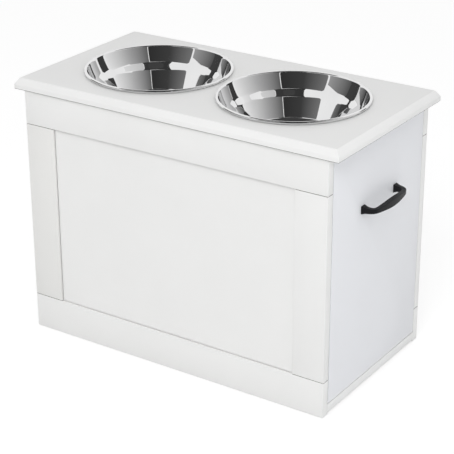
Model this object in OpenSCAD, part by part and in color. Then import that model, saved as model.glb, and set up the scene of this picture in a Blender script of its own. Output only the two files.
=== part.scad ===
// Raised feeding cabinet for a dog: two steel bowls drop into a bevelled top board,
// and a deep food drawer pulls out of the right end on ball runners.
// Length lies along X, the drawer end is at +X, the front is at -Y and Z is up from the floor.
// The origin is on the floor, midway along the whole length with the handle counted in.

/* [Cabinet] */
// Distance from a bowl's rim to the end of the cabinet next to it
end_margin = 32.5; // [30:0.5:60]
// Distance from a bowl's rim to the long face next to it
side_margin = 34.5; // [32:0.5:60]
// Height of the cabinet under its top board
body_h = 424; // [410:1:500]
// Thickness of every cabinet board
board_t = 15; // [14:0.5:18]
// Height of the rails under the top board
top_rail_h = 57; // [45:1:80]
// Height of the rails on the floor
bottom_rail_h = 61; // [45:1:80]
// Width of the upright stiles
stile_w = 56; // [46:1:80]
// Depth of the centre panels behind the faces of the rails and stiles
panel_recess = 4; // [2:0.5:5]
// Width of the rebate that holds a centre panel
rebate_w = 6; // [4:1:8]
// Height of the base board over the floor
base_lift = 3; // [1:0.5:8]
// Height of the cross rail over the drawer opening
cross_rail_h = 45; // [36:1:60]
// Side of the square cleats under the top board
cleat_s = 16; // [14:1:18]

/* [Top board] */
// Thickness of the top board
top_t = 18; // [15:0.5:24]
// Overhang of the top board at each end
end_overhang = 18; // [10:1:30]
// Overhang of the top board along each long face
side_overhang = 4; // [2:1:12]
// Width of the bevel round the upper edge, seen from above
bevel_w = 7; // [3:0.5:10]
// Height of the upright nose under the bevel
nose_h = 8; // [4:0.5:12]

/* [Bowls] */
// Diameter of a bowl over its rolled rim
bowl_rim_d = 243; // [180:1:260]
// Gap between the rims of the two bowls
bowl_gap = 13; // [8:1:40]
// Depth of a bowl from the top of its rim to its floor
bowl_depth = 69; // [62:1:72]
// Lean of the upper wall of a bowl from upright, in degrees
wall_lean = 20; // [14:1:24]
// Height of the upper wall under the top board's face
wall_h = 24; // [20:0.5:26]
// Lean of the ledge under the upper wall from upright, in degrees
ledge_lean = 35; // [33:1:42]
// Height of the ledge
ledge_h = 14; // [10:0.5:16]
// Lean of the lower wall from upright, in degrees
low_lean = 29; // [24:1:31]
// Radius where the lower wall turns into the floor
bowl_fillet = 7; // [5:0.5:10]
// Thickness of the bowl steel
steel_t = 0.8; // [0.6:0.1:1.2]
// Diameter of the rolled edge of the rim
bead_d = 5.2; // [4:0.2:6.4]
// Gap round the bowl wall in its hole
hole_gap = 1.2; // [0.6:0.1:2]

/* [Drawer] */
// Gap round the drawer front in its opening
drawer_gap = 1.2; // [0.8:0.1:2.5]
// Space between the back of the drawer and the closed end
rear_space = 29; // [20:1:60]
// Thickness of the drawer sides and back
side_t = 12; // [11:0.5:13]
// Thickness of the drawer bottom
bottom_t = 5; // [3:0.5:6]
// Depth of the groove that holds the drawer bottom
groove_d = 5; // [3:0.5:6]
// Height of the drawer sides over the base board
box_lift = 10; // [6:1:20]
// Space between the drawer sides and the cross rail
head_space = 8; // [5:1:20]
// Height of the drawer bottom over the lower edge of the sides
bottom_lift = 10; // [8:1:20]

/* [Runners] */
// Width of the space for a runner at each side of the drawer
runner_space = 12.7; // [12.5:0.1:13.5]
// Height of the runner that is fixed to the cabinet
runner_h = 45; // [42:1:50]
// Height of the middle of the runners over the base board
runner_lift = 100; // [60:1:160]
// Thickness of the runner steel
strip_t = 1.2; // [1:0.1:1.4]
// Distance from the drawer front to the runners, and from the runners to the drawer back
runner_inset = 2.5; // [2:0.5:10]
// Height of the ball race between the two steel members
race_h = 5; // [4.6:0.1:5.4]
// Length of the strip that keeps the balls apart
cage_l = 120; // [80:1:120]
// Number of balls in one race
race_balls = 6; // [3:1:7]
// Length of the plastic stop at the back of a runner
stop_l = 8; // [5:1:12]

/* [Handle] */
// Distance between the two handle screws
handle_span = 102; // [64:1:128]
// Reach of the handle from the drawer front
handle_reach = 28; // [24:1:36]
// Height of the handle screws under the top of the drawer front
handle_drop = 112; // [60:1:200]
// Width of a handle foot along the drawer front
foot_w = 11; // [10:0.5:13]
// Height of a handle foot
foot_h = 13; // [12:0.5:16]
// Thickness of the grip at its middle
grip_t = 9; // [7:0.5:11]
// Height of the grip at its middle
grip_h = 11.5; // [10:0.5:14]
// Height of the grip where it meets its legs
grip_end_h = 7; // [6.5:0.5:9]
// Thickness of the legs, and of the grip where it meets them
leg_t = 8; // [7:0.5:9]

/* [Fasteners] */
// Diameter of the wooden dowels
dowel_d = 8; // [6:1:8]
// Length of the wooden dowels
dowel_l = 30; // [24:1:36]
// Diameter of the cam discs
cam_d = 15; // [12:0.5:15]
// Distance from the joint to the middle of a cam disc
cam_set = 24; // [20:1:34]
// Diameter of the cam bolts
bolt_d = 6; // [5:0.5:7]
// Depth of a cam bolt in the board that it is screwed into
bolt_in = 10; // [8:0.5:11]
// Diameter of the wood screws
screw_d = 3.5; // [3:0.5:4]
// Diameter of the handle screws
handle_screw_d = 4; // [4:0.5:5]
// Thickness of the bumper pads behind the drawer front
pad_t = 1.3; // [1:0.1:2]

/* [Hidden] */
$fn = 96;
EPS = 1;
// Running gap round a pin, screw or dowel in its hole
fit = 0.05;
// Gap between pieces of different bodies that rest or roll on each other
seat = 0.3;
ball_gap = 0.2;

white_c = [0.94, 0.94, 0.93];
raw_c = [0.86, 0.78, 0.64];
steel_c = [0.78, 0.79, 0.8];
zinc_c = [0.7, 0.71, 0.72];
black_c = [0.1, 0.1, 0.1];
clear_c = [0.85, 0.86, 0.85];

// The cabinet is built round its two bowls
bowl_spacing = bowl_rim_d + bowl_gap;
body_l = bowl_spacing + bowl_rim_d + 2 * end_margin;
body_w = bowl_rim_d + 2 * side_margin;

// Places along X: the handle reaches past the top board, so the cabinet lies a little to the left
mid_x = -(handle_reach - end_overhang) / 2;
left_x = mid_x - body_l / 2;
right_x = mid_x + body_l / 2;
inner_w = body_w - 2 * board_t;
panel_t = board_t - panel_recess;
base_top = base_lift + board_t;
top_z = body_h + top_t;

// Drawer front and box
front_back_x = right_x - board_t;
box_l = body_l - 2 * board_t - rear_space;
box_back_x = front_back_x - box_l;
box_w = inner_w - 2 * runner_space;
box_z = base_top + box_lift;
box_h = body_h - cross_rail_h - head_space - box_z;
front_h = body_h - 2 * drawer_gap - base_top;
front_w = inner_w - 2 * drawer_gap;
groove_gap = 0.1;

// Cross rail behind the drawer front
cross_x = front_back_x - pad_t - seat - board_t;
cross_z = body_h - cross_rail_h;
pad_r = 5;
pad_inset = 24;

// Runners
runner_x = front_back_x - runner_inset;
runner_l = box_l - 2 * runner_inset;
runner_z = base_top + runner_lift;
runner_depth = 10;
runner_lip = 1.8;
slide_h = runner_h - 2 * strip_t - 2 * race_h;
slide_depth = 8.6;
cage_t = 0.8;
cage_web_y = runner_space - strip_t - 2.3;
cage_flange = 7.2;
ball_d = race_h - 2 * ball_gap;
ball_y = 6.7;
pocket_gap = 0.15;
race_z = (runner_h - race_h) / 2 - strip_t;
runner_screws = 4;
runner_screw_inset = 25;
pan_r = 3.2;
pan_h = 1.2;

// Bowl: upper wall, ledge and lower wall, with the floor's turn below and the rolled edge above.
// The turn and the edge lap the straight walls they join, so that they cross.
turn_lap = 0.01;
bead_r = bead_d / 2;
bead_x = bowl_rim_d / 2 - bead_r;
bead_z = seat + bead_r;
mouth_r = bead_x - (bead_r - turn_lap) / cos(wall_lean) - bead_z * tan(wall_lean);
floor_z = seat + bead_d - bowl_depth;
ledge_z = -wall_h;
ledge_r = mouth_r + ledge_z * tan(wall_lean);
low_z = ledge_z - ledge_h;
low_r = ledge_r - ledge_h * tan(ledge_lean);
turn_z = floor_z + bowl_fillet;
turn_r = low_r + (turn_z - low_z) * tan(low_lean) - (bowl_fillet - turn_lap) / cos(low_lean);
hole_r = mouth_r + steel_t / cos(wall_lean) + hole_gap;

// Handle
handle_z = base_top + drawer_gap + front_h - handle_drop;
grip_in = handle_reach - grip_t;
leg_out = handle_span / 2 + leg_t / 2;
leg_in = handle_span / 2 - leg_t / 2;
foot_t = 3;
handle_bore = 12;
bore_end = 2;
bow_rise = 5;
bow_r = (leg_out * leg_out + bow_rise * bow_rise) / (2 * bow_rise);
spindle_rise = (grip_h - grip_end_h) / 2;
spindle_r = (leg_out * leg_out + spindle_rise * spindle_rise) / (2 * spindle_rise);

// Fasteners
head_r = 3.6;
head_h = 2.2;
cam_floor = 3;
cam_slot_w = 1;
cam_slot_l = 6;
cam_slot_deep = 2;
neck_start = 6.5;
neck_l = 5;
knob_start = 2;
knob_l = 3;
knob_slack = 0.2;
base_cam_x = [mid_x - body_l / 3, mid_x + body_l / 3];
end_cam_z = [base_top + 100, body_h - 90];
drawer_cam_z = [box_z + 45, box_z + box_h - 45];
rear_screw_z = [box_z + 35, box_z + box_h / 2, box_z + box_h - 35];
cleat_l = cross_x - left_x - board_t - 2;
cleat_mid_x = left_x + board_t + 1 + cleat_l / 2;
cleat_screw_x = [for (k = [-1, 0, 1]) cleat_mid_x + k * (cleat_l / 2 - 30)];
cleat_screw_l = cleat_s + 10;
top_screw_l = cleat_s + 12;
top_screw_shift = 12;
rear_screw_l = 30;
rim_screw_l = 10;

// A box from its lowest corner and its size
module block(corner, size) {
    translate(corner) cube(size);
}

// The front half of the cabinet is drawn, and the back half mirrors it
module on_side(side) {
    if (side < 0) children();
    else mirror([0, 1, 0]) children();
}

// Countersunk wood screw along +Y, with its head flush at the origin
module wood_screw(length, gap = 0) {
    rotate([-90, 0, 0]) {
        cylinder(h = head_h, r1 = head_r + gap, r2 = screw_d / 2 + gap);
        cylinder(h = length + gap, r = screw_d / 2 + gap);
    }
}

// Flat-headed screw along +Y, with its head standing out at the origin
module pan_screw(length, gap = 0) {
    rotate([-90, 0, 0]) {
        translate([0, 0, -pan_h]) cylinder(h = pan_h, r = pan_r);
        cylinder(h = length + gap, r = screw_d / 2 + gap);
    }
}

// Cam disc in a board that meets its neighbour at the origin and runs along +Y, open towards +Z
module cam_disc(thick) {
    cam_h = thick - cam_floor;
    translate([0, cam_set, thick / 2 - cam_h]) difference() {
        cylinder(h = cam_h, r = cam_d / 2);
        translate([0, 2, cam_h - thick / 2]) rotate([90, 0, 0])
            cylinder(h = cam_d, r = bolt_d / 2 + seat);
        for (turn = [0, 90]) rotate([0, 0, turn])
            block([-cam_slot_l / 2, -cam_slot_w / 2, cam_h - cam_slot_deep],
                [cam_slot_l, cam_slot_w, cam_slot_deep + EPS]);
    }
}

// Bolt that the cam disc draws in
module cam_bolt() {
    rotate([-90, 0, 0]) {
        translate([0, 0, -bolt_in]) cylinder(h = bolt_in + cam_set - neck_start, r = bolt_d / 2);
        translate([0, 0, cam_set - neck_start]) cylinder(h = neck_l, r = bolt_d / 4);
        translate([0, 0, cam_set - knob_start]) cylinder(h = knob_l, r = bolt_d / 2 - knob_slack);
    }
}

// What a cam disc and its bolt take out of the two boards
module cam_void(thick) {
    cam_h = thick - cam_floor;
    translate([0, cam_set, thick / 2 - cam_h]) cylinder(h = cam_h + EPS, r = cam_d / 2 + fit);
    rotate([-90, 0, 0]) translate([0, 0, -bolt_in - knob_slack])
        cylinder(h = bolt_in + cam_set, r = bolt_d / 2 + fit);
}

// Cam places: base board, closed end and cross rail, each fixed to both long sides
module base_cam_places(side) {
    for (x = base_cam_x) on_side(side)
        translate([x, -inner_w / 2, base_lift + board_t / 2]) mirror([0, 0, 1]) children();
}

module end_cam_places(side) {
    for (z = end_cam_z) on_side(side)
        translate([left_x + board_t / 2, -inner_w / 2, z]) rotate([0, 90, 0]) children();
}

module cross_cam_places(side) {
    on_side(side) translate([cross_x + board_t / 2, -inner_w / 2, body_h - cross_rail_h / 2])
        rotate([0, -90, 0]) children();
}

module cabinet_cam_places() {
    for (side = [-1, 1]) {
        base_cam_places(side) children();
        end_cam_places(side) children();
        cross_cam_places(side) children();
    }
}

// Dowel places in one long side, two at each end of each stile
module dowel_places() {
    for (end = [-1, 1], off = [-1, 1], z = [bottom_rail_h, body_h - top_rail_h])
        translate([mid_x + end * (body_l - stile_w) / 2 + off * stile_w / 4,
            -(body_w - board_t) / 2, z]) children();
}

module dowel_holes() {
    dowel_places() translate([0, 0, -dowel_l / 2 - 0.5])
        cylinder(h = dowel_l + 1, r = dowel_d / 2 + fit);
}

// Screw places of the runners: the head side faces the drawer
module runner_screw_places() {
    step = (runner_l - 2 * runner_screw_inset) / (runner_screws - 1);
    for (k = [0:runner_screws - 1])
        translate([runner_x - runner_screw_inset - k * step, 0, runner_z]) children();
}

module runner_pilots() {
    runner_screw_places() translate([0, -inner_w / 2 + strip_t, 0]) rotate([0, 0, 180])
        pan_screw(rim_screw_l, fit);
}

module slide_pilots() {
    runner_screw_places() translate([0, -box_w / 2 - strip_t, 0]) pan_screw(rim_screw_l, fit);
}

module cleat_screw_places() {
    for (x = cleat_screw_x)
        translate([x, -inner_w / 2 + cleat_s, body_h - cleat_s / 2]) rotate([0, 0, 180]) children();
}

module top_screw_places() {
    for (x = cleat_screw_x)
        translate([x + top_screw_shift, -(inner_w - cleat_s) / 2, body_h - cleat_s])
            rotate([90, 0, 0]) children();
}

// Long side: top rail, bottom rail, two stiles and a panel in their rebates
module panel_rebate() {
    block([left_x + stile_w - rebate_w, -inner_w / 2 - panel_t, bottom_rail_h - rebate_w],
        [body_l - 2 * stile_w + 2 * rebate_w, panel_t + EPS,
            body_h - top_rail_h - bottom_rail_h + 2 * rebate_w]);
}

module top_rail(side) {
    on_side(side) difference() {
        block([left_x, -body_w / 2, body_h - top_rail_h], [body_l, board_t, top_rail_h]);
        panel_rebate();
        dowel_holes();
        end_cam_places(-1) cam_void(board_t);
        cross_cam_places(-1) cam_void(board_t);
        cleat_screw_places() wood_screw(cleat_screw_l, fit);
    }
}

module bottom_rail(side) {
    on_side(side) difference() {
        block([left_x, -body_w / 2, 0], [body_l, board_t, bottom_rail_h]);
        panel_rebate();
        dowel_holes();
        base_cam_places(-1) cam_void(board_t);
    }
}

module stile(side, end) {
    on_side(side) difference() {
        block([end < 0 ? left_x : right_x - stile_w, -body_w / 2, bottom_rail_h],
            [stile_w, board_t, body_h - top_rail_h - bottom_rail_h]);
        panel_rebate();
        dowel_holes();
        end_cam_places(-1) cam_void(board_t);
        runner_pilots();
    }
}

module centre_panel(side) {
    on_side(side) difference() {
        block([left_x + stile_w - rebate_w, -inner_w / 2 - panel_t, bottom_rail_h - rebate_w],
            [body_l - 2 * stile_w + 2 * rebate_w, panel_t,
                body_h - top_rail_h - bottom_rail_h + 2 * rebate_w]);
        runner_pilots();
    }
}

module side_dowels(side) {
    color(raw_c) on_side(side) dowel_places() translate([0, 0, -dowel_l / 2])
        cylinder(h = dowel_l, r = dowel_d / 2);
}

module front_top_rail() {
    color(white_c) top_rail(-1);
}

module front_bottom_rail() {
    color(white_c) bottom_rail(-1);
}

module front_left_stile() {
    color(white_c) stile(-1, -1);
}

module front_right_stile() {
    color(white_c) stile(-1, 1);
}

module front_panel() {
    color(white_c) centre_panel(-1);
}

module back_top_rail() {
    color(white_c) top_rail(1);
}

module back_bottom_rail() {
    color(white_c) bottom_rail(1);
}

module back_left_stile() {
    color(white_c) stile(1, -1);
}

module back_right_stile() {
    color(white_c) stile(1, 1);
}

module back_panel() {
    color(white_c) centre_panel(1);
}

module front_dowels() {
    side_dowels(-1);
}

module back_dowels() {
    side_dowels(1);
}

// Closed end, standing on the base board between the long sides
module left_end_panel() {
    color(white_c) difference() {
        block([left_x, -inner_w / 2, base_top], [board_t, inner_w, body_h - base_top]);
        for (side = [-1, 1]) end_cam_places(side) cam_void(board_t);
    }
}

module base_board() {
    color(white_c) difference() {
        block([left_x, -inner_w / 2, base_lift], [body_l, inner_w, board_t]);
        for (side = [-1, 1]) base_cam_places(side) cam_void(board_t);
    }
}

module cross_rail() {
    color(white_c) difference() {
        block([cross_x, -inner_w / 2, cross_z], [board_t, inner_w, cross_rail_h]);
        for (side = [-1, 1]) cross_cam_places(side) cam_void(board_t);
    }
}

// Cleats that hold the top board to the long sides
module cleat(side) {
    color(raw_c) on_side(side) difference() {
        block([cleat_mid_x - cleat_l / 2, -inner_w / 2, body_h - cleat_s],
            [cleat_l, cleat_s, cleat_s]);
        cleat_screw_places() wood_screw(cleat_screw_l, fit);
        top_screw_places() wood_screw(top_screw_l, fit);
    }
}

module front_cleat() {
    cleat(-1);
}

module back_cleat() {
    cleat(1);
}

module cleat_screws() {
    color(zinc_c) for (side = [-1, 1]) on_side(side) cleat_screw_places() wood_screw(cleat_screw_l);
}

module top_screws() {
    color(zinc_c) for (side = [-1, 1]) on_side(side) top_screw_places() wood_screw(top_screw_l);
}

module cabinet_cams() {
    color(zinc_c) cabinet_cam_places() cam_disc(board_t);
}

module cabinet_cam_bolts() {
    color(zinc_c) cabinet_cam_places() cam_bolt();
}

module bumper_pads() {
    color(clear_c) for (side = [-1, 1])
        translate([cross_x + board_t, side * (inner_w / 2 - pad_inset), body_h - cross_rail_h / 2])
            rotate([0, 90, 0]) cylinder(h = pad_t, r = pad_r);
}

// Top board: two bevelled sections cross, so that the bevels meet in mitres
module top_section(width) {
    polygon([[-width / 2, 0], [width / 2, 0], [width / 2, nose_h], [width / 2 - bevel_w, top_t],
        [bevel_w - width / 2, top_t], [-width / 2, nose_h]]);
}

module top_board() {
    top_l = body_l + 2 * end_overhang;
    top_w = body_w + 2 * side_overhang;
    color(white_c) difference() {
        translate([mid_x, 0, body_h]) intersection() {
            rotate([90, 0, 90]) translate([0, 0, -top_l / 2])
                linear_extrude(top_l) top_section(top_w);
            rotate([90, 0, 0]) translate([0, 0, -top_w / 2])
                linear_extrude(top_w) top_section(top_l);
        }
        for (side = [-1, 1]) translate([mid_x + side * bowl_spacing / 2, 0, body_h - EPS])
            cylinder(h = top_t + 2 * EPS, r = hole_r, $fn = 180);
        for (side = [-1, 1]) on_side(side) top_screw_places() wood_screw(top_screw_l, fit);
    }
}

// Point where a leaning wall touches a turn or edge
function touch(middle, radius, lean) = [middle[0] + radius * cos(lean),
    middle[1] - radius * sin(lean)];

// Corner between two walls, on the inside, or with the steel's thickness on the outside
function corner(place, above, below, out) = let (drop = out * (1 / cos(below) - 1 / cos(above))
        / (tan(below) - tan(above)))
    [place[0] - drop * tan(above) + out / cos(above), place[1] - drop];

// Half section of a bowl's hollow, or of the hollow with the steel round it, up to the rim.
// The hollow reaches further, so that its top lies clear of the steel's.
module bowl_hollow(out) {
    turn = bowl_fillet + out;
    further = steel_t - out;
    translate([turn_r, turn_z]) intersection() {
        circle(turn);
        translate([0, -turn]) square([turn, turn]);
    }
    polygon([[0, floor_z - out], [turn_r, floor_z - out], [turn_r, turn_z],
        touch([turn_r, turn_z], turn - turn_lap, low_lean),
        corner([low_r, low_z], ledge_lean, low_lean, out),
        corner([ledge_r, ledge_z], wall_lean, ledge_lean, out),
        touch([bead_x, bead_z], out + turn_lap - bead_r, wall_lean)
            + further * [sin(wall_lean), cos(wall_lean)],
        [0, bead_z + bead_x * tan(wall_lean) + further]]);
}

module bowl() {
    color(steel_c) translate([0, 0, top_z]) rotate_extrude($fn = 180) {
        difference() {
            bowl_hollow(steel_t);
            bowl_hollow(0);
        }
        translate([bead_x, bead_z]) circle(bead_r);
    }
}

module bowl_left() {
    translate([mid_x - bowl_spacing / 2, 0, 0]) bowl();
}

module bowl_right() {
    translate([mid_x + bowl_spacing / 2, 0, 0]) bowl();
}

// Steel runner on the cabinet: a channel with lips that keep the balls in, drawn at the front side
module runner(side) {
    color(zinc_c) on_side(side) difference() {
        translate([runner_x - runner_l, -inner_w / 2, runner_z - runner_h / 2]) {
            cube([runner_l, strip_t, runner_h]);
            for (z = [0, runner_h - strip_t]) block([0, 0, z], [runner_l, runner_depth, strip_t]);
            for (z = [0, runner_h - strip_t - runner_lip])
                block([0, runner_depth - strip_t, z], [runner_l, strip_t, strip_t + runner_lip]);
        }
        runner_pilots();
    }
}

// Steel slide on the drawer: a smaller channel that runs inside the balls
module slide(side) {
    slide_l = runner_l - stop_l - seat;
    color(zinc_c) on_side(side) difference() {
        translate([runner_x - slide_l, -box_w / 2 - slide_depth, runner_z - slide_h / 2]) {
            block([0, slide_depth - strip_t, 0], [slide_l, strip_t, slide_h]);
            for (z = [0, slide_h - strip_t]) block([0, 0, z], [slide_l, slide_depth, strip_t]);
        }
        slide_pilots();
    }
}

module ball_places() {
    step = cage_l / race_balls;
    for (k = [0:race_balls - 1], z = [-race_z, race_z])
        translate([runner_x - runner_l / 2 - cage_l / 2 + (k + 0.5) * step,
            -box_w / 2 - ball_y, runner_z + z]) children();
}

// Strip that keeps the balls apart and rolls along at half the speed of the drawer
module cage(side) {
    color(zinc_c) on_side(side) difference() {
        translate([runner_x - runner_l / 2 - cage_l / 2, -box_w / 2 - cage_web_y - cage_t, runner_z]) {
            block([0, 0, -race_z - cage_t / 2], [cage_l, cage_t, 2 * race_z + cage_t]);
            for (z = [-race_z, race_z]) block([0, 0, z - cage_t / 2], [cage_l, cage_flange, cage_t]);
        }
        ball_places() translate([0, 0, -cage_t]) cylinder(h = 2 * cage_t, r = ball_d / 2 + pocket_gap);
    }
}

module balls(side) {
    color(steel_c) on_side(side) ball_places() sphere(d = ball_d, $fn = 24);
}

module front_runner() {
    runner(-1);
}

module back_runner() {
    runner(1);
}

module front_slide() {
    slide(-1);
}

module back_slide() {
    slide(1);
}

module front_cage() {
    cage(-1);
}

module back_cage() {
    cage(1);
}

module front_balls() {
    balls(-1);
}

module back_balls() {
    balls(1);
}

module runner_screw_row(side) {
    color(zinc_c) on_side(side) runner_screw_places() translate([0, -inner_w / 2 + strip_t, 0])
        rotate([0, 0, 180]) pan_screw(rim_screw_l);
}

module front_runner_screws() {
    runner_screw_row(-1);
}

module back_runner_screws() {
    runner_screw_row(1);
}

module slide_screw_row(side) {
    color(zinc_c) on_side(side) runner_screw_places() translate([0, -box_w / 2 - strip_t, 0])
        pan_screw(rim_screw_l);
}

module front_slide_screws() {
    slide_screw_row(-1);
}

module back_slide_screws() {
    slide_screw_row(1);
}

// Plastic stops that the slides meet when the drawer is shut
module runner_stops() {
    stop_h = slide_h - 2 * strip_t;
    color(black_c) for (side = [-1, 1]) on_side(side)
        block([runner_x - runner_l, -inner_w / 2 + strip_t, runner_z - stop_h / 2],
            [stop_l, runner_depth - strip_t, stop_h]);
}

// Groove round the drawer box for its bottom
module bottom_groove() {
    block([box_back_x + side_t - groove_d - groove_gap, -box_w / 2 + side_t - groove_d - groove_gap,
            box_z + bottom_lift],
        [box_l - side_t + 2 * groove_d + 2 * groove_gap,
            box_w - 2 * side_t + 2 * groove_d + 2 * groove_gap, bottom_t]);
}

module drawer_cam_places(side) {
    for (z = drawer_cam_z) on_side(side)
        translate([front_back_x, -(box_w - side_t) / 2, z])
            rotate([-90, 0, 0]) rotate([0, 0, 90]) children();
}

module rear_screw_places() {
    for (z = rear_screw_z) translate([box_back_x + side_t / 2, -box_w / 2, z]) children();
}

module handle_screw_places() {
    for (side = [-1, 1])
        translate([right_x, side * handle_span / 2, handle_z]) rotate([0, 90, 0]) children();
}

module drawer_front() {
    color(white_c) difference() {
        block([front_back_x, -front_w / 2, base_top + drawer_gap], [board_t, front_w, front_h]);
        bottom_groove();
        for (side = [-1, 1]) drawer_cam_places(side) cam_void(side_t);
        handle_screw_places() translate([0, 0, -board_t - EPS])
            cylinder(h = board_t + 2 * EPS, r = handle_screw_d / 2 + seat);
    }
}

module drawer_side(side) {
    color(white_c) on_side(side) difference() {
        block([box_back_x, -box_w / 2, box_z], [box_l, side_t, box_h]);
        bottom_groove();
        drawer_cam_places(-1) cam_void(side_t);
        rear_screw_places() wood_screw(rear_screw_l, fit);
        slide_pilots();
    }
}

module drawer_front_side() {
    drawer_side(-1);
}

module drawer_back_side() {
    drawer_side(1);
}

module drawer_rear() {
    color(white_c) difference() {
        block([box_back_x, -box_w / 2 + side_t, box_z], [side_t, box_w - 2 * side_t, box_h]);
        bottom_groove();
        for (side = [-1, 1]) on_side(side) rear_screw_places() wood_screw(rear_screw_l, fit);
    }
}

module drawer_bottom() {
    color(white_c) block([box_back_x + side_t - groove_d, -box_w / 2 + side_t - groove_d,
            box_z + bottom_lift],
        [box_l - side_t + 2 * groove_d, box_w - 2 * side_t + 2 * groove_d, bottom_t]);
}

module drawer_cams() {
    color(zinc_c) for (side = [-1, 1]) drawer_cam_places(side) cam_disc(side_t);
}

module drawer_cam_bolts() {
    color(zinc_c) for (side = [-1, 1]) drawer_cam_places(side) cam_bolt();
}

module drawer_rear_screws() {
    color(zinc_c) for (side = [-1, 1]) on_side(side) rear_screw_places() wood_screw(rear_screw_l);
}

// Handle seen from above: two legs and a bowed grip, with the finger gap between them
module handle_plan() {
    difference() {
        intersection() {
            translate([0, -leg_out]) square([handle_reach, 2 * leg_out]);
            translate([handle_reach - bow_r, 0]) circle(bow_r, $fn = 1440);
        }
        translate([-EPS, -leg_in]) square([grip_in + EPS, 2 * leg_in]);
    }
}

// Handle seen from the end: a spindle, highest at the middle of the grip
module handle_spindle() {
    intersection() {
        translate([0, grip_h / 2 - spindle_r]) circle(spindle_r, $fn = 1440);
        translate([0, spindle_r - grip_h / 2]) circle(spindle_r, $fn = 1440);
        translate([-leg_out, -grip_h / 2]) square([2 * leg_out, grip_h]);
    }
}

module handle() {
    color(black_c) translate([right_x, 0, handle_z]) difference() {
        union() {
            intersection() {
                translate([0, 0, -grip_h / 2]) linear_extrude(grip_h) handle_plan();
                rotate([90, 0, 90]) linear_extrude(handle_reach) handle_spindle();
            }
            for (side = [-1, 1])
                block([0, side * handle_span / 2 - foot_w / 2, -foot_h / 2], [foot_t, foot_w, foot_h]);
        }
        for (side = [-1, 1]) translate([-EPS, side * handle_span / 2, 0]) rotate([0, 90, 0])
            cylinder(h = handle_bore + EPS, r = handle_screw_d / 2);
    }
}

module handle_screws() {
    slot_l = 1.1 * handle_screw_d;
    slot_w = 0.8;
    color(zinc_c) handle_screw_places() {
        translate([0, 0, -board_t])
            cylinder(h = board_t + handle_bore - bore_end, r = handle_screw_d / 2 - fit);
        translate([0, 0, -board_t - head_h]) difference() {
            cylinder(h = head_h, r = handle_screw_d);
            for (turn = [0, 90]) rotate([0, 0, turn])
                block([-slot_l / 2, -slot_w / 2, -EPS], [slot_l, slot_w, EPS + head_h / 2]);
        }
    }
}

top_board();
front_top_rail();
front_bottom_rail();
front_left_stile();
front_right_stile();
front_panel();
back_top_rail();
back_bottom_rail();
back_left_stile();
back_right_stile();
back_panel();
left_end_panel();
base_board();
cross_rail();
front_cleat();
back_cleat();
front_dowels();
back_dowels();
cabinet_cams();
cabinet_cam_bolts();
cleat_screws();
top_screws();
bumper_pads();
front_runner();
back_runner();
front_runner_screws();
back_runner_screws();
runner_stops();
front_cage();
front_balls();
back_cage();
back_balls();
drawer_front();
drawer_front_side();
drawer_back_side();
drawer_rear();
drawer_bottom();
front_slide();
back_slide();
front_slide_screws();
back_slide_screws();
drawer_cams();
drawer_cam_bolts();
drawer_rear_screws();
handle();
handle_screws();
bowl_left();
bowl_right();
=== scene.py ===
import math
import bpy
from mathutils import Matrix, Vector


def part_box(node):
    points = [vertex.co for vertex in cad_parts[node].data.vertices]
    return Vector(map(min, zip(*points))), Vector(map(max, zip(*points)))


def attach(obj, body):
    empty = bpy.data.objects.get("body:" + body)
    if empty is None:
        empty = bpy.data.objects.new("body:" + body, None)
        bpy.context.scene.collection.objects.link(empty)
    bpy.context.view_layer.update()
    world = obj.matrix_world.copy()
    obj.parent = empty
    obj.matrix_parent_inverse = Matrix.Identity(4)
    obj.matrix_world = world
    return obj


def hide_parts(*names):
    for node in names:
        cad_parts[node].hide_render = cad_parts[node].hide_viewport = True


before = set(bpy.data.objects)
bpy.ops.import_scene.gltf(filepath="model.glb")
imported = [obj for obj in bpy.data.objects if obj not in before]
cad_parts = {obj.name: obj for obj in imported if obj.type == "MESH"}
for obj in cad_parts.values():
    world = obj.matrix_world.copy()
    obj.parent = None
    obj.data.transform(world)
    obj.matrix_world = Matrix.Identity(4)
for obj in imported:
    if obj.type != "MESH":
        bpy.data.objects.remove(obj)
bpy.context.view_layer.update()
MM = 0.001

# White lacquer
# The cabinet is fibreboard, sanded and sprayed with satin white lacquer. The spray
# leaves a faint orange peel, and its white drifts a little from place to place.
FRONT_WHITE = (0.868, 0.868, 0.860)
WHITE_DRIFT = (0.990, 1.006)
DRIFT_SIZE = 9.0
LACQUER_ROUGHNESS = 0.42
ROUGHNESS_DRIFT = 0.04
LACQUER_SHINE = 0.35
PEEL_SIZE = 520.0
PEEL_DEEP = 0.04 * MM
NOISE_RANGE = (0.3, 0.7)


def noise(nodes, links, place, scale, detail=3.0):
    cloud = nodes.new("ShaderNodeTexNoise")
    cloud.inputs["Scale"].default_value = scale
    cloud.inputs["Detail"].default_value = detail
    links.new(place, cloud.inputs["Vector"])
    return cloud


def stretch(nodes, links, value, before, after):
    """Maps a value from one range to another."""
    ramp = nodes.new("ShaderNodeMapRange")
    for socket, limit in zip(("From Min", "From Max", "To Min", "To Max"), (*before, *after)):
        ramp.inputs[socket].default_value = limit
    links.new(value, ramp.inputs["Value"])
    return ramp.outputs["Result"]


def spread(nodes, links, value, low, high):
    """Stretches a noise, which stays near its middle, over low to high."""
    return stretch(nodes, links, value, NOISE_RANGE, (low, high))


def tint(nodes, links, value, first, second):
    """Blends two near colours by a value from 0 to 1."""
    blend = nodes.new("ShaderNodeMix")
    blend.data_type = "RGBA"
    blend.inputs["A"].default_value = (*first, 1)
    blend.inputs["B"].default_value = (*second, 1)
    links.new(value, blend.inputs["Factor"])
    return blend.outputs["Result"]


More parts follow.
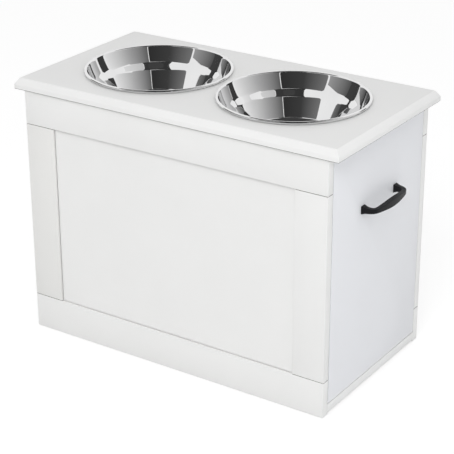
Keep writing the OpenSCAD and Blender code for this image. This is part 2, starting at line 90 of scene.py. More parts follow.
def roughen(nodes, links, shader, height, deep):
    """Turns a height pattern into small bumps of the given depth in metres."""
    bump = nodes.new("ShaderNodeBump")
    bump.inputs["Distance"].default_value = deep
    bump.inputs["Strength"].default_value = 1.0
    links.new(height, bump.inputs["Height"])
    links.new(bump.outputs["Normal"], shader.inputs["Normal"])


def start_material(name):
    mat = bpy.data.materials.new(name)
    mat.use_nodes = True
    nodes, links = mat.node_tree.nodes, mat.node_tree.links
    shader = nodes["Principled BSDF"]
    place = nodes.new("ShaderNodeTexCoord").outputs["Object"]
    return mat, nodes, links, shader, place


def lacquer(name, white):
    mat, nodes, links, shader, place = start_material(name)
    cloud = noise(nodes, links, place, DRIFT_SIZE)
    duller, paler = (tuple(c * drift for c in white) for drift in WHITE_DRIFT)
    patch = spread(nodes, links, cloud.outputs["Fac"], 0.0, 1.0)
    links.new(tint(nodes, links, patch, duller, paler), shader.inputs["Base Color"])
    peel = noise(nodes, links, place, PEEL_SIZE, 2.0)
    rough = spread(nodes, links, peel.outputs["Fac"], LACQUER_ROUGHNESS - ROUGHNESS_DRIFT,
                   LACQUER_ROUGHNESS + ROUGHNESS_DRIFT)
    links.new(rough, shader.inputs["Roughness"])
    roughen(nodes, links, shader, peel.outputs["Fac"], PEEL_DEEP)
    shader.inputs["Specular IOR Level"].default_value = LACQUER_SHINE
    return mat


white_lacquer = lacquer("white_lacquer", FRONT_WHITE)


# Long sides
# Each long side is a frame of two rails and two stiles, 15 mm thick, doweled and glued,
# round a thinner panel let into rebates from the inside, so it lies 4 mm back.
EDGE = 0.35 * MM
EDGE_SEGMENTS = 2
JOINT = 0.3 * MM
SMOOTH_ANGLE = math.radians(30)


def box_piece(name, low, high):
    """A block from its lowest to its highest corner, selected in object mode."""
    bpy.ops.object.select_all(action="DESELECT")
    centre = (Vector(low) + Vector(high)) / 2
    bpy.ops.mesh.primitive_cube_add(size=1, location=centre)
    piece = bpy.context.object
    piece.name = name
    piece.scale = Vector(high) - Vector(low)
    bpy.ops.object.transform_apply(location=True, rotation=True, scale=True)
    return piece


def ease_edges(piece, width):
    """Rounds over all the edges of a block, as sanding does."""
    bpy.ops.object.mode_set(mode="EDIT")
    bpy.ops.mesh.select_all(action="SELECT")
    bpy.ops.mesh.bevel(offset=width, segments=EDGE_SEGMENTS, profile=0.5, affect="EDGES")
    bpy.ops.object.mode_set(mode="OBJECT")


def cut_out(piece, cutter):
    """Takes the cutter's space out of the piece, and the cutter away."""
    bpy.ops.object.select_all(action="DESELECT")
    bpy.context.view_layer.objects.active = piece
    piece.select_set(True)
    cut = piece.modifiers.new("cut", "BOOLEAN")
    cut.operation = "DIFFERENCE"
    cut.solver = "EXACT"
    cut.object = cutter
    bpy.ops.object.modifier_apply(modifier="cut")
    bpy.data.objects.remove(cutter, do_unlink=True)


def bore(centre, radius, low, high, axis, sides=48):
    """A round cutter along an axis, from low to high on it."""
    bpy.ops.object.select_all(action="DESELECT")
    place = Vector(centre)
    place["XYZ".index(axis)] = (low + high) / 2
    turn = {"X": (0, math.pi / 2, 0), "Y": (math.pi / 2, 0, 0), "Z": (0, 0, 0)}[axis]
    bpy.ops.mesh.primitive_cylinder_add(vertices=sides, radius=radius, depth=high - low,
                                        location=place, rotation=turn)
    cutter = bpy.context.object
    bpy.ops.object.transform_apply(location=True, rotation=True, scale=True)
    return cutter


def finish_piece(piece, body, nodes, material):
    bpy.ops.object.select_all(action="DESELECT")
    bpy.context.view_layer.objects.active = piece
    piece.select_set(True)
    bpy.ops.object.shade_smooth_by_angle(angle=SMOOTH_ANGLE)
    piece.data.materials.clear()
    piece.data.materials.append(material)
    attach(piece, body)
    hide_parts(*nodes)


def board(node, trim=JOINT, edge=EDGE):
    """A board in the place of its node, a hair smaller, with eased edges."""
    low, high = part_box(node)
    step = Vector((trim, trim, trim))
    piece = box_piece("painted_" + node, Vector(low) + step, Vector(high) - step)
    ease_edges(piece, edge)
    return piece


# In the joints the sawn edges stay without lacquer. Their colour is set dark enough to stand in
# for the shade in the gaps too, so each joint shows as a fine dark line, partly painted shadow.
# The panel's face stops short of the frame and leaves the same line all round.
SAWN_DARK_AND_SHADOW = (0.10, 0.095, 0.09)
SAWN_LIGHT_AND_SHADOW = (0.16, 0.15, 0.14)
FIBRE_SIZE = 900.0
FIBRE_DEEP = 0.1 * MM


def sawn_edge_and_shadow():
    mat, nodes, links, shader, place = start_material("sawn_fibreboard_and_shadow")
    fibre = noise(nodes, links, place, FIBRE_SIZE, 4.0)
    patch = spread(nodes, links, fibre.outputs["Fac"], 0.0, 1.0)
    links.new(tint(nodes, links, patch, SAWN_DARK_AND_SHADOW, SAWN_LIGHT_AND_SHADOW), shader.inputs["Base Color"])
    links.new(spread(nodes, links, fibre.outputs["Fac"], 0.75, 0.9), shader.inputs["Roughness"])
    roughen(nodes, links, shader, fibre.outputs["Fac"], FIBRE_DEEP)
    return mat


raw_edge_and_shadow = sawn_edge_and_shadow()


def split_at(piece, planes, axis):
    """Cuts the surface of a piece at planes across an axis, and leaves it whole."""
    bpy.ops.object.mode_set(mode="EDIT")
    normal = [0, 0, 0]
    normal["XYZ".index(axis)] = 1
    for plane in planes:
        bpy.ops.mesh.select_all(action="SELECT")
        bpy.ops.mesh.bisect(plane_co=[plane * n for n in normal], plane_no=normal)
    bpy.ops.object.mode_set(mode="OBJECT")


def leave_raw_and_shadowed(piece, is_dark_edge):
    """Gives the chosen faces the dark raw finish: bare joint faces, and painted shadow in slits
    and under edges.
    """
    piece.data.materials.append(raw_edge_and_shadow)
    for face in piece.data.polygons:
        if is_dark_edge(face.center, face.normal):
            face.material_index = 1


# The left stile gets a greyer copy of the lacquer, painted shade for the darker left end of
# the long side. The top rail has a fine step, or quirk, along its lower edge, and the slit
# round the panel differs in width from side to side.
LEFT_STILE_PAINTED_SHADE = (0.955, 0.952, 0.942)
QUIRK = 0.6 * MM
STILES = ("left_stile", "right_stile")
RAIL_JOINT_SIDE = {"top_rail": -1, "bottom_rail": 1}
REBATE_OPEN = 2 * MM
PANEL_SLITS = {"left": 0.8 * MM, "right": 0.4 * MM, "low": 0.6 * MM, "high": 0.6 * MM}
SLIT_DEEP = 1.5 * MM
BORDER = 1 * MM
for side, out in (("front", -1), ("back", 1)):
    panel_low, panel_high = map(Vector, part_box(side + "_panel"))
    stile_x = (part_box(side + "_left_stile")[1][0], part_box(side + "_right_stile")[0][0])
    rebate_low = panel_low - Vector((0, REBATE_OPEN if out > 0 else 0, 0))
    rebate_high = panel_high + Vector((0, REBATE_OPEN if out < 0 else 0, 0))
    for part in (*RAIL_JOINT_SIDE, *STILES):
        node = f"{side}_{part}"
        piece = board(node)
        cut_out(piece, box_piece("rebate", rebate_low, rebate_high))
        if part == "top_rail":
            rail_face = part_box(node)[0 if out < 0 else 1][1]
            rail_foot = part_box(node)[0][2]
            cut_out(piece, box_piece("quirk", (stile_x[0], rail_face - QUIRK, rail_foot - MM),
                                     (stile_x[1], rail_face + QUIRK, rail_foot + QUIRK)))
        mat = white_lacquer
        # the left stile's greyer lacquer is painted shade
        if part == "left_stile":
            shaded = tuple(c * shade for c, shade in zip(FRONT_WHITE, LEFT_STILE_PAINTED_SHADE))
            mat = lacquer("white_lacquer_" + side, shaded)
        if part in STILES:
            finish_piece(piece, "cabinet", [node], mat)
            leave_raw_and_shadowed(piece, lambda c, n: abs(n.z) > 0.9)
        else:
            up = RAIL_JOINT_SIDE[part]
            split_at(piece, stile_x, "X")
            finish_piece(piece, "cabinet", [node], mat)
            # the faces of the quirk under the top rail get the same dark finish: painted shadow
            # under the rail's edge
            leave_raw_and_shadowed(piece, lambda c, n: n.z * up > 0.9 and not stile_x[0] < c.x < stile_x[1]
                      or up < 0 and c.z < rail_foot + QUIRK and stile_x[0] < c.x < stile_x[1])

    # the panel: a field that stops short of the frame, on a border that lies in the rebate
    panel = board(side + "_panel", trim=0.05 * MM, edge=0.2 * MM)
    rail_z = (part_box(side + "_bottom_rail")[1][2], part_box(side + "_top_rail")[0][2])
    face_y = panel_low.y if out < 0 else panel_high.y
    field = box_piece("field", (stile_x[0] - JOINT + PANEL_SLITS["left"], face_y - SLIT_DEEP,
                                rail_z[0] - JOINT + PANEL_SLITS["low"]),
                      (stile_x[1] + JOINT - PANEL_SLITS["right"], face_y + SLIT_DEEP,
                       rail_z[1] + JOINT - PANEL_SLITS["high"]))
    border = box_piece("border", (panel_low.x - BORDER, face_y - SLIT_DEEP, panel_low.z - BORDER),
                       (panel_high.x + BORDER, face_y + SLIT_DEEP, panel_high.z + BORDER))
    cut_out(border, field)
    cut_out(panel, border)
    finish_piece(panel, "cabinet", [side + "_panel"], white_lacquer)
    # the slit faces round the field get the dark finish: painted shadow in the slit
    leave_raw_and_shadowed(panel, lambda c, n: not stile_x[0] + BORDER < c.x < stile_x[1] - BORDER
              or not rail_z[0] + BORDER < c.z < rail_z[1] - BORDER)

# Base board, closed end, cross rail
# Three plain boards join the long sides. Cam discs, 15 mm across, sit in blind holes in
# them and draw in bolts that are screwed into the rails and stiles.
CAM_HOLE = 7.55 * MM
CAM_DEEP = 12 * MM
CAM_Y = (-117 * MM, 117 * MM)
BASE_CAM_X = (-193 * MM, 183 * MM)
END_CAM_Z = (118 * MM, 334 * MM)
CROSS_CAM_Z = 401.5 * MM
base = board("base_board", edge=0.5 * MM)
base_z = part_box("base_board")[0][2]
for x in BASE_CAM_X:
    for y in CAM_Y:
        cut_out(base, bore((x, y, 0), CAM_HOLE, base_z - MM, base_z + CAM_DEEP, "Z"))
finish_piece(base, "cabinet", ["base_board"], white_lacquer)

closed_end = board("left_end_panel")
inner_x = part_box("left_end_panel")[1][0]
for z in END_CAM_Z:
    for y in CAM_Y:
        cut_out(closed_end, bore((0, y, z), CAM_HOLE, inner_x - CAM_DEEP, inner_x + MM, "X"))
finish_piece(closed_end, "cabinet", ["left_end_panel"], white_lacquer)

cross = board("cross_rail")
rear_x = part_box("cross_rail")[0][0]
for y in CAM_Y:
    cut_out(cross, bore((0, y, CROSS_CAM_Z), CAM_HOLE, rear_x - MM, rear_x + CAM_DEEP, "X"))
finish_piece(cross, "cabinet", ["cross_rail"], white_lacquer)

# Top board
# One thick board overhangs the cabinet. A cutter has run a flat bevel round its upper
# edge, above a short upright nose, and two round holes take the bowls.
TOP_THICK = 18 * MM
NOSE = 8 * MM
BEVEL = 7 * MM
TOP_EDGE = 0.9 * MM
TOP_SHADED_WHITE = (0.80, 0.80, 0.795)
BEVEL_WHITE = (0.87, 0.87, 0.865)
BOWL_X = (-133 * MM, 123 * MM)
HOLE_R = 117.1 * MM
HOLE_SIDES = 192
top_low, top_high = map(Vector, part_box("top_board"))
top = box_piece("painted_top_board", top_low, Vector((top_high.x, top_high.y, top_low.z + NOSE)))
bpy.ops.object.mode_set(mode="EDIT")
bpy.ops.mesh.select_mode(type="FACE")
bpy.ops.mesh.select_all(action="DESELECT")
bpy.ops.object.mode_set(mode="OBJECT")
for face in top.data.polygons:
    face.select = face.normal.z > 0.9
bpy.ops.object.mode_set(mode="EDIT")
bpy.ops.mesh.extrude_region_move(TRANSFORM_OT_translate={"value": (0, 0, TOP_THICK - NOSE)})
long, wide = top_high.x - top_low.x, top_high.y - top_low.y
top_mid = (top_low + top_high) / 2
bpy.ops.transform.resize(value=(1 - 2 * BEVEL / long, 1 - 2 * BEVEL / wide, 1),
                         center_override=(top_mid.x, top_mid.y, top_high.z))
bpy.ops.mesh.select_mode(type="EDGE")
bpy.ops.mesh.select_all(action="SELECT")
bpy.ops.mesh.bevel(offset=TOP_EDGE, segments=3, profile=0.5, affect="EDGES")
bpy.ops.object.mode_set(mode="OBJECT")
for x in BOWL_X:
    cut_out(top, bore((x, 0, 0), HOLE_R, top_low.z - MM, top_high.z + MM, "Z", HOLE_SIDES))
finish_piece(top, "cabinet", ["top_board"],
             lacquer("white_lacquer_bevel", BEVEL_WHITE))

# the flat face gets a darker copy of the lacquer than the bevel, painted shade, and the nose's
# lower edge gets the dark raw-edge finish, painted shadow under the overhang
top.data.materials.append(lacquer("white_lacquer_top_shaded", TOP_SHADED_WHITE))
top.data.materials.append(raw_edge_and_shadow)
for face in top.data.polygons:
    if face.normal.z > 0.98:
        face.material_index = 1
    elif -0.99 < face.normal.z < -0.2:
        face.material_index = 2

# Cleats and dowels
# Planed softwood cleats run under the top board, and beech dowels, hidden in the joints,
# hold rails and stiles together. Both are left without lacquer.
WOOD_DARK = (0.50, 0.33, 0.17)
WOOD_LIGHT = (0.74, 0.57, 0.36)
ALONG_THE_GRAIN = (3.0, 60.0, 60.0)
GRAIN_DEEP = 0.15 * MM


def bare_wood():
    mat, nodes, links, shader, place = start_material("planed_softwood")
    lengthen = nodes.new("ShaderNodeMapping")
    lengthen.inputs["Scale"].default_value = ALONG_THE_GRAIN
    links.new(place, lengthen.inputs["Vector"])
    grain = noise(nodes, links, lengthen.outputs["Vector"], 4.0, 6.0)
    line = spread(nodes, links, grain.outputs["Fac"], 0.0, 1.0)
    links.new(tint(nodes, links, line, WOOD_DARK, WOOD_LIGHT), shader.inputs["Base Color"])
    rough = spread(nodes, links, grain.outputs["Fac"], 0.55, 0.72)
    links.new(rough, shader.inputs["Roughness"])
    roughen(nodes, links, shader, grain.outputs["Fac"], GRAIN_DEEP)
    return mat


def dress(names, mat):
    """Gives frame nodes that stay in view their own finish."""
    for name in names:
        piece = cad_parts[name]
        if not piece.material_slots:
            piece.data.materials.append(mat)
        for slot in piece.material_slots:
            slot.material = mat


dress(["front_cleat", "back_cleat", "front_dowels", "back_dowels"], bare_wood())

# Zinc-plated fittings
# Cams, bolts, screws and the drawer runners are steel with bright zinc plate, which
# shows a fine spangle and dulls a little in patches.
ZINC_DULL = (0.56, 0.57, 0.59)
ZINC_BRIGHT = (0.72, 0.73, 0.74)
SPANGLE_SIZE = 240.0
SPANGLE_DEEP = 0.02 * MM


def zinc_plate():
    mat, nodes, links, shader, place = start_material("zinc_plate")
    spangle = noise(nodes, links, place, SPANGLE_SIZE, 4.0)
    patch = spread(nodes, links, spangle.outputs["Fac"], 0.0, 1.0)
    links.new(tint(nodes, links, patch, ZINC_DULL, ZINC_BRIGHT), shader.inputs["Base Color"])
    links.new(spread(nodes, links, spangle.outputs["Fac"], 0.24, 0.40), shader.inputs["Roughness"])
    roughen(nodes, links, shader, spangle.outputs["Fac"], SPANGLE_DEEP)
    shader.inputs["Metallic"].default_value = 1.0
    return mat


dress(["cabinet_cams", "cabinet_cam_bolts", "cleat_screws", "top_screws", "front_runner",
       "back_runner", "front_runner_screws", "back_runner_screws", "front_cage", "back_cage",
       "front_slide", "back_slide", "front_slide_screws", "back_slide_screws", "drawer_cams",
       "drawer_cam_bolts", "drawer_rear_screws", "handle_screws"], zinc_plate())

# Drawer
# A deep box of 12 mm boards with a thin bottom in a groove. Its front is a thicker
# board that closes the right end flush with the long sides, with a slim gap round it.
# The drawer front gets a darker, bluer copy of the white lacquer: painted shade and cool light on
# the end face.
END_WHITE_SHADED = (0.845, 0.854, 0.882)
GROOVE_SLACK = 0.1 * MM
end_shaded_lacquer = lacquer("white_lacquer_end_shaded", END_WHITE_SHADED)
groove_low, groove_high = map(Vector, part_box("drawer_bottom"))


def groove():
    """The space that the drawer bottom takes in the boards round it, as a cutter."""
    slack = Vector((GROOVE_SLACK, GROOVE_SLACK, 0))
    return box_piece("groove", groove_low - slack, groove_high + slack)


SCREW_HALF_SPAN = 51 * MM
SCREW_HOLE = 2.3 * MM
SCREW_HOLE_SIDES = 24
HANDLE_Z = 310.8 * MM
front_low, front_high = map(Vector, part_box("drawer_front"))
drawer_front = board("drawer_front", trim=0, edge=0.7 * MM)
cut_out(drawer_front, groove())
for y in (-SCREW_HALF_SPAN, SCREW_HALF_SPAN):
    cut_out(drawer_front, bore((0, y, HANDLE_Z), SCREW_HOLE, front_low.x - MM, front_high.x + MM,
                               "X", SCREW_HOLE_SIDES))
finish_piece(drawer_front, "drawer", ["drawer_front"], end_shaded_lacquer)

DRAWER_FIT = 0.05 * MM
SIDE_CAM_X = 238 * MM
SIDE_CAM_Z = (73 * MM, 326 * MM)
SIDE_CAM_DEEP = 9 * MM
for node in ("drawer_front_side", "drawer_back_side", "drawer_rear"):
    piece = board(node, trim=DRAWER_FIT, edge=0.8 * MM)
    cut_out(piece, groove())
    if node != "drawer_rear":
        low, high = map(Vector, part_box(node))
        hole_start = high.y - SIDE_CAM_DEEP if low.y < 0 else low.y - MM
        for z in SIDE_CAM_Z:
            cut_out(piece, bore((SIDE_CAM_X, 0, z), CAM_HOLE, hole_start,
                                hole_start + SIDE_CAM_DEEP + MM, "Y"))
    finish_piece(piece, "drawer", [node], white_lacquer)
drawer_bottom = board("drawer_bottom", trim=DRAWER_FIT, edge=0.3 * MM)
finish_piece(drawer_bottom, "drawer", ["drawer_bottom"], white_lacquer)

# Handle
# A cast bow handle in black powder coat: square feet flare out of slim legs, which
# turn into a grip that swells towards its middle. Two screws come through the front.
HANDLE_STEPS = [  # out from the front, along it, heading in degrees, thickness, height, in mm
    (0.0, 51.0, 0, 11.0, 13.0), (2.2, 51.0, 0, 10.4, 12.2), (6.0, 50.9, 0, 8.6, 9.4),
    (11.0, 50.6, 4, 7.8, 8.2), (15.6, 49.4, 22, 7.6, 7.4), (18.9, 46.4, 52, 7.2, 7.0),
    (20.6, 42.0, 74, 6.8, 7.2), (21.8, 33.0, 83, 7.0, 8.4), (22.9, 20.0, 86, 7.8, 10.2),
    (23.4, 8.5, 88, 8.5, 11.3), (23.5, 0.0, 90, 8.6, 11.5)]
FOOT_START = 0.4
CAST_EDGE = 1.3 * MM
CAST_ANGLE = math.radians(50)


def handle_place(step):
    return Vector((front_high.x + step[0] * MM, step[1] * MM, HANDLE_Z))


def turn_selected(degrees, centre):
    bpy.ops.transform.rotate(value=math.radians(degrees), orient_axis="Z", center_override=centre)


first = HANDLE_STEPS[0]
handle = box_piece("bow_handle",
                   handle_place(first) - Vector((0, first[3], first[4])) / 2 * MM,
                   handle_place(first) + Vector((FOOT_START, first[3] / 2, first[4] / 2)) * MM)
bpy.ops.object.mode_set(mode="EDIT")
bpy.ops.mesh.select_mode(type="FACE")
bpy.ops.mesh.select_all(action="DESELECT")
bpy.ops.object.mode_set(mode="OBJECT")
for face in handle.data.polygons:
    face.select = face.normal.x > 0.9
bpy.ops.object.mode_set(mode="EDIT")
here = handle_place(first) + Vector((FOOT_START * MM, 0, 0))
before = first
for step in HANDLE_STEPS[1:]:
    there = handle_place(step)
    bpy.ops.mesh.extrude_region_move(TRANSFORM_OT_translate={"value": there - here})
    turn_selected(-before[2], there)
    bpy.ops.transform.resize(value=(1, step[3] / before[3], step[4] / before[4]),
                             center_override=there)
    turn_selected(step[2], there)
    here, before = there, step
bpy.ops.mesh.delete(type="ONLY_FACE")
bpy.ops.object.mode_set(mode="OBJECT")
mirror = handle.modifiers.new("other half", "MIRROR")
mirror.use_axis = (False, True, False)
mirror.merge_threshold = 0.1 * MM
bpy.ops.object.modifier_apply(modifier="other half")
bpy.ops.object.mode_set(mode="EDIT")
bpy.ops.mesh.select_all(action="SELECT")
bpy.ops.mesh.normals_make_consistent(inside=False)
bpy.ops.object.mode_set(mode="OBJECT")
soften = handle.modifiers.new("cast edges", "BEVEL")
soften.width = CAST_EDGE
soften.segments = 2
soften.limit_method = "ANGLE"
soften.angle_limit = CAST_ANGLE
bpy.ops.object.modifier_apply(modifier="cast edges")
smooth = handle.modifiers.new("smooth", "SUBSURF")
smooth.levels = smooth.render_levels = 2
bpy.ops.object.modifier_apply(modifier="smooth")

COAT_BLACK = (0.007, 0.007, 0.008)
COAT_WORN = (0.013, 0.013, 0.015)
GRIT_SIZE = 1900.0
GRIT_DEEP = 0.03 * MM
COAT_SHINE = 0.13


def powder_coat():
    mat, nodes, links, shader, place = start_material("black_powder_coat")
    grit = noise(nodes, links, place, GRIT_SIZE, 2.0)
    cloud = noise(nodes, links, place, 60.0)
    patch = spread(nodes, links, cloud.outputs["Fac"], 0.0, 1.0)
    links.new(tint(nodes, links, patch, COAT_BLACK, COAT_WORN), shader.inputs["Base Color"])
    links.new(spread(nodes, links, grit.outputs["Fac"], 0.36, 0.48), shader.inputs["Roughness"])
    roughen(nodes, links, shader, grit.outputs["Fac"], GRIT_DEEP)
    shader.inputs["Specular IOR Level"].default_value = COAT_SHINE
    return mat


finish_piece(handle, "drawer", ["handle"], powder_coat())

# Bowls
# Each bowl is drawn from one sheet of stainless steel and mirror polished. Its wall has a
# flatter ledge half way down, and the rim is rolled outwards into a tube on the board.
TOP_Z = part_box("top_board")[1][2]
STEEL = 0.8 * MM
TUBE_R = 2.6 * MM
TUBE = (118.9 * MM, 2.9 * MM)  # its middle, out from the bowl's and up from the board
BOWL_RUNS = [  # from the floor up: length in mm, slope at its end in degrees, steps
    (7.0, 61.4, 14), (32.1, 61.5, 8), (3.5, 53.5, 6), (8.5, 53.5, 5), (4.0, 63.2, 6),
    (24.5, 72.4, 12)]
FLOOR_PARTS = (0.0, 0.5, 0.97)
TUBE_STEPS = 28
SPIN_STEPS = 192


def bowl_line():
    """Points and slopes of the inside, from the middle of the floor to the rolled rim."""
    r, z, slope, line = 0.0, 0.0, 0.0, [(0.0, 0.0, 0.0)]
    for length, end, steps in BOWL_RUNS:
        for k in range(steps):
            middle = math.radians(slope + (end - slope) * (k + 0.5) / steps)
            r += length / steps * MM * math.cos(middle)
            z += length / steps * MM * math.sin(middle)
            line.append((r, z, slope + (end - slope) * (k + 1) / steps))
        slope = end
    steep = math.radians(slope)
    out = TUBE[0] - TUBE_R * math.sin(steep) - r
    up = TUBE[1] + TUBE_R * math.cos(steep) - z
    flat = [(out * part, up, 0.0) for part in FLOOR_PARTS]
    return flat + [(r + out, z + up, slope) for r, z, slope in line]


def bowl_outline():
    """The whole section of the sheet: up the inside, round the rolled rim, down the outside."""
    line = bowl_line()
    start = math.radians(90 + line[-1][2])
    turn = 2 * math.pi - math.acos(1 - STEEL / TUBE_R)
    tube = [(TUBE[0] + TUBE_R * math.cos(start - turn * k / TUBE_STEPS),
             TUBE[1] + TUBE_R * math.sin(start - turn * k / TUBE_STEPS))
            for k in range(1, TUBE_STEPS + 1)]
    outer = [(r + STEEL * math.sin(math.radians(slope)), z - STEEL * math.cos(math.radians(slope)))
             for r, z, slope in reversed(line[:-1])]
    return [(r, z) for r, z, slope in line] + tube + outer


def spin_bowl(name, x):
    """Draws the outline as a chain of edges, and spins it round the upright line at x."""
    path = [Vector((x + r, 0, TOP_Z + z)) for r, z in bowl_outline()]
    bpy.ops.object.select_all(action="DESELECT")
    bpy.ops.mesh.primitive_plane_add(size=0.01, location=path[0])
    bowl = bpy.context.object
    bowl.name = name
    bpy.ops.object.transform_apply(location=True, rotation=True, scale=True)
    bpy.ops.object.mode_set(mode="EDIT")
    bpy.ops.mesh.select_mode(type="VERT")
    bpy.ops.mesh.select_all(action="SELECT")
    bpy.ops.mesh.merge(type="CENTER")
    for here, there in zip(path, path[1:]):
        bpy.ops.mesh.extrude_region_move(TRANSFORM_OT_translate={"value": there - here})
    bpy.ops.mesh.select_all(action="SELECT")
    bpy.ops.mesh.spin(steps=SPIN_STEPS, angle=2 * math.pi, center=(x, 0, 0), axis=(0, 0, 1))
    bpy.ops.mesh.select_all(action="SELECT")
    bpy.ops.mesh.remove_doubles(threshold=0.02 * MM)
    bpy.ops.mesh.normals_make_consistent(inside=False)
    bpy.ops.object.mode_set(mode="OBJECT")
    return bowl


STEEL_HAZY = (0.76, 0.76, 0.765)
STEEL_CLEAR = (0.80, 0.80, 0.80)
POLISH_RINGS = 1500.0
POLISH_DEEP = 0.0006 * MM


def mirror_steel(name, x):
    """Steel with fine polishing rings round the upright line at x."""
    mat, nodes, links, shader, place = start_material(name)
    middle = nodes.new("ShaderNodeMapping")
    middle.inputs["Location"].default_value = (-x, 0, 0)
    middle.inputs["Scale"].default_value = (1, 1, 0)
    links.new(place, middle.inputs["Vector"])
    ring = nodes.new("ShaderNodeVectorMath")
    ring.operation = "LENGTH"
    links.new(middle.outputs["Vector"], ring.inputs[0])
    polish = nodes.new("ShaderNodeTexNoise")
    polish.noise_dimensions = "1D"
    polish.inputs["Scale"].default_value = POLISH_RINGS
    links.new(ring.outputs["Value"], polish.inputs["W"])
    cloud = noise(nodes, links, place, 25.0)
    links.new(spread(nodes, links, cloud.outputs["Fac"], 0.015, 0.045), shader.inputs["Roughness"])
    roughen(nodes, links, shader, polish.outputs["Fac"], POLISH_DEEP)
    haze = spread(nodes, links, cloud.outputs["Fac"], 0.0, 1.0)
    links.new(tint(nodes, links, haze, STEEL_HAZY, STEEL_CLEAR), shader.inputs["Base Color"])
    shader.inputs["Metallic"].default_value = 1.0
    return mat


for side, x in zip(("left", "right"), BOWL_X):
    bowl = spin_bowl("polished_bowl_" + side, x)
    finish_piece(bowl, side + "_bowl", ["bowl_" + side],
                 mirror_steel("mirror_steel_" + side, x))
dress(["front_balls", "back_balls"], mirror_steel("ball_steel", 0))

# Stops and pads
# Moulded plastic stops meet the slides at the back of the runners, and clear soft pads
# on the cross rail take the knock of the drawer front.


def moulded(name, colour, rough, bumps):
    mat, nodes, links, shader, place = start_material(name)
    cloud = noise(nodes, links, place, 300.0)
    patch = spread(nodes, links, cloud.outputs["Fac"], 0.0, 1.0)
    links.new(tint(nodes, links, patch, tuple(c * 0.9 for c in colour), colour),
              shader.inputs["Base Color"])
    links.new(spread(nodes, links, cloud.outputs["Fac"], rough - 0.05, rough + 0.05),
              shader.inputs["Roughness"])
    roughen(nodes, links, shader, cloud.outputs["Fac"], bumps)
    return mat


dress(["runner_stops"], moulded("black_plastic", (0.03, 0.03, 0.03), 0.5, 0.05 * MM))
dress(["bumper_pads"], moulded("clear_rubber", (0.78, 0.79, 0.78), 0.35, 0.02 * MM))

# Studio
# A pale floor under a white surround, a large soft lamp high in front and a weak one
# at the end. Cards out of view, which only reflections meet, give the steel its darks.
FLOOR_SIZE = 60.0
FLOOR_DROP = 0.5 * MM
FLOOR_BOUNCE = (0.85, 0.85, 0.85, 1)
FLOOR_PAINT = (0.55, 0.55, 0.55, 1)
FLOOR_GLOW = 0.55
WHITE = (1, 1, 1, 1)
bpy.ops.object.select_all(action="DESELECT")
bpy.ops.mesh.primitive_plane_add(size=FLOOR_SIZE, location=(0, 0, -FLOOR_DROP))
floor = bpy.context.object
floor.name = "studio_floor"
floor_mat = bpy.data.materials.new("pale_floor")
floor_mat.use_nodes = True
tree = floor_mat.node_tree
tree.nodes.remove(tree.nodes["Principled BSDF"])
matte = tree.nodes.new("ShaderNodeBsdfDiffuse")
matte.inputs["Color"].default_value = FLOOR_BOUNCE
glow = tree.nodes.new("ShaderNodeEmission")
glow.inputs["Color"].default_value = WHITE
glow.inputs["Strength"].default_value = FLOOR_GLOW
paint = tree.nodes.new("ShaderNodeBsdfDiffuse")
paint.inputs["Color"].default_value = FLOOR_PAINT
both = tree.nodes.new("ShaderNodeAddShader")
tree.links.new(paint.outputs[0], both.inputs[0])
tree.links.new(glow.outputs[0], both.inputs[1])
rays = tree.nodes.new("ShaderNodeLightPath")


def seen_rays(tree, rays):
    """1 for rays from the camera, a reflection or a clear piece."""
    most = rays.outputs["Is Camera Ray"]
    for name in ("Is Glossy Ray", "Is Transmission Ray"):
        larger = tree.nodes.new("ShaderNodeMath")
        larger.operation = "MAXIMUM"
        tree.links.new(most, larger.inputs[0])
        tree.links.new(rays.outputs[name], larger.inputs[1])
        most = larger.outputs[0]
    return most


pick = tree.nodes.new("ShaderNodeMixShader")
tree.links.new(seen_rays(tree, rays), pick.inputs[0])
tree.links.new(matte.outputs[0], pick.inputs[1])
tree.links.new(both.outputs[0], pick.inputs[2])
tree.links.new(pick.outputs[0], tree.nodes["Material Output"].inputs["Surface"])
floor.data.materials.append(floor_mat)

AMBIENT = 0.72
world = bpy.data.worlds.new("white_surround")
bpy.context.scene.world = world
world.use_nodes = True
tree = world.node_tree
shown = tree.nodes["Background"]
shown.inputs["Color"].default_value = WHITE
shown.inputs["Strength"].default_value = 1.0
soft = tree.nodes.new("ShaderNodeBackground")
soft.inputs["Color"].default_value = WHITE
soft.inputs["Strength"].default_value = AMBIENT
rays = tree.nodes.new("ShaderNodeLightPath")
pick = tree.nodes.new("ShaderNodeMixShader")
tree.links.new(seen_rays(tree, rays), pick.inputs[0])
tree.links.new(soft.outputs[0], pick.inputs[1])
tree.links.new(shown.outputs[0], pick.inputs[2])
tree.links.new(pick.outputs[0], tree.nodes["World Output"].inputs["Surface"])


LAMP_AIM = Vector((0, 0, 0.25))
LAMP_SIZE = 1.3


def softbox(name, place, watts, colour=(1, 1, 1)):
    """A square soft lamp aimed at the middle of the feeder, and not seen in the steel."""
    lamp = bpy.data.lights.new(name, "AREA")
    lamp.shape = "SQUARE"
    lamp.size = LAMP_SIZE
    lamp.energy = watts
    lamp.color = colour
    holder = bpy.data.objects.new(name, lamp)
    bpy.context.scene.collection.objects.link(holder)
    holder.location = place
    holder.rotation_euler = (LAMP_AIM - Vector(place)).to_track_quat("-Z", "Y").to_euler()
    holder.visible_glossy = False


softbox("front_softbox", (0.95, -2.3, 2.4), 29)
softbox("end_softbox", (3.0, -0.3, 1.0), 5, (0.94, 0.97, 1.0))

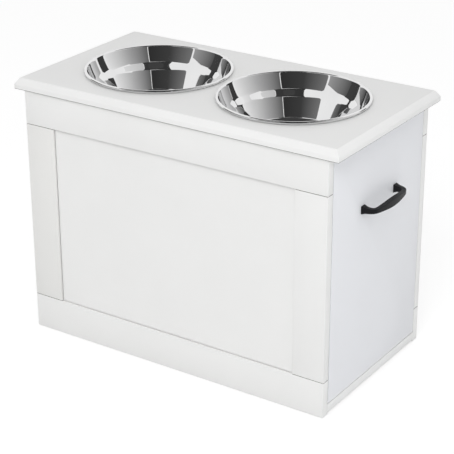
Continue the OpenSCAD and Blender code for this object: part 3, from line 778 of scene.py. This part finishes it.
# Cards stand round the bowls, far off. Their places are azimuths from the camera's side,
# to its right, and elevations, both in degrees and seen from between the bowls.
AZIMUTH = math.radians(33.786)
CARD_FAR = 8.0
CARD_MIDDLE = Vector((0, 0, 0.43))
CARDS = {  # two azimuths, two elevations, tone at the left and at the right end
    "dark_room_left": ((-57, -18), (-3, 42), (0.20, 0.055)),
    "dark_room_right": ((-18, 19.8), (-3, 42), (0.055, 0.035)),
    "grey_wall": ((21, 62), (-3, 43), (0.13, 0.52)),
    "pale_wall": ((62, 103), (-3, 36), (0.52, 0.95)),
    "left_flag": ((-122, -101), (-3, 26), (0.05, 0.06)),
    "left_sweep": ((-101, -60), (-3, 24.5), (0.10, 0.38)),
    "right_flag": ((105, 121), (-3, 21), (0.05, 0.05)),
    "upper_flag": ((-25, 38), (43, 58), (0.04, 0.05)),
    "upper_wall": ((39, 82), (44, 58), (0.62, 0.85)),
}


def only_reflected(sheet, along, reach, tones):
    """Hides a sheet from all but reflections, and lights it from one tone to the other."""
    sheet.visible_camera = sheet.visible_diffuse = sheet.visible_shadow = False
    sheet.visible_transmission = sheet.visible_volume_scatter = False
    mat = bpy.data.materials.new(sheet.name)
    mat.use_nodes = True
    nodes, links = mat.node_tree.nodes, mat.node_tree.links
    nodes.remove(nodes["Principled BSDF"])
    place = nodes.new("ShaderNodeTexCoord").outputs["Object"]
    across = nodes.new("ShaderNodeVectorMath")
    across.operation = "DOT_PRODUCT"
    across.inputs[1].default_value = along
    links.new(place, across.inputs[0])
    tone = stretch(nodes, links, across.outputs["Value"], (-reach, reach), tones)
    glow = nodes.new("ShaderNodeEmission")
    links.new(tone, glow.inputs["Strength"])
    links.new(glow.outputs[0], nodes["Material Output"].inputs["Surface"])
    sheet.data.materials.append(mat)


def card(name, azimuths, elevations, tones):
    """An upright sheet that faces the bowls and spans these angles."""
    half = math.radians(azimuths[1] - azimuths[0]) / 2
    turn = AZIMUTH + math.radians(sum(azimuths) / 2)
    out = Vector((math.sin(turn), -math.cos(turn), 0))
    along = Vector((math.cos(turn), math.sin(turn), 0))
    reach = CARD_FAR * math.tan(half)
    low, high = (CARD_FAR * math.tan(math.radians(e)) for e in elevations)
    bpy.ops.object.select_all(action="DESELECT")
    bpy.ops.mesh.primitive_plane_add(size=1, rotation=(math.pi / 2, 0, turn))
    sheet = bpy.context.object
    sheet.name = name
    sheet.scale = (2 * reach, high - low, 1)
    sheet.location = CARD_MIDDLE + out * CARD_FAR + Vector((0, 0, (low + high) / 2))
    bpy.ops.object.transform_apply(location=True, rotation=True, scale=True)
    only_reflected(sheet, along, reach, tones)


for name, (azimuths, elevations, tones) in CARDS.items():
    card(name, azimuths, elevations, tones)

CEILING = 5.0
CEILING_TONE = 0.06
bpy.ops.object.select_all(action="DESELECT")
bpy.ops.mesh.primitive_plane_add(size=2 * CEILING, location=CARD_MIDDLE + Vector((0, 0, CARD_FAR)))
ceiling = bpy.context.object
ceiling.name = "dark_ceiling"
bpy.ops.object.transform_apply(location=True, rotation=True, scale=True)
only_reflected(ceiling, Vector((1, 0, 0)), CEILING, (CEILING_TONE, CEILING_TONE))

# Camera
# The camera stands high off the front right corner, with a long lens.
ELEVATION, ROLL = math.radians(23.992), math.radians(-0.218)
DISTANCE = 2.5117
AIM = Vector((-0.005, 0.0052, 0.19205))
SENSOR, LENS = 36, 120.63
back = Vector((math.sin(AZIMUTH) * math.cos(ELEVATION), -math.cos(AZIMUTH) * math.cos(ELEVATION),
               math.sin(ELEVATION)))
right = Vector((math.cos(AZIMUTH), math.sin(AZIMUTH), 0))
up = back.cross(right)
rolled_right = math.cos(ROLL) * right + math.sin(ROLL) * up
rolled_up = math.cos(ROLL) * up - math.sin(ROLL) * right
camera = bpy.data.objects.new("camera", bpy.data.cameras.new("camera"))
bpy.context.scene.collection.objects.link(camera)
camera.data.sensor_width = SENSOR
camera.data.lens = LENS
camera.matrix_world = Matrix.Translation(AIM + DISTANCE * back) @ Matrix(
    (rolled_right, rolled_up, back)).transposed().to_4x4()
bpy.context.scene.camera = camera
bpy.context.scene.view_settings.view_transform = "Standard"
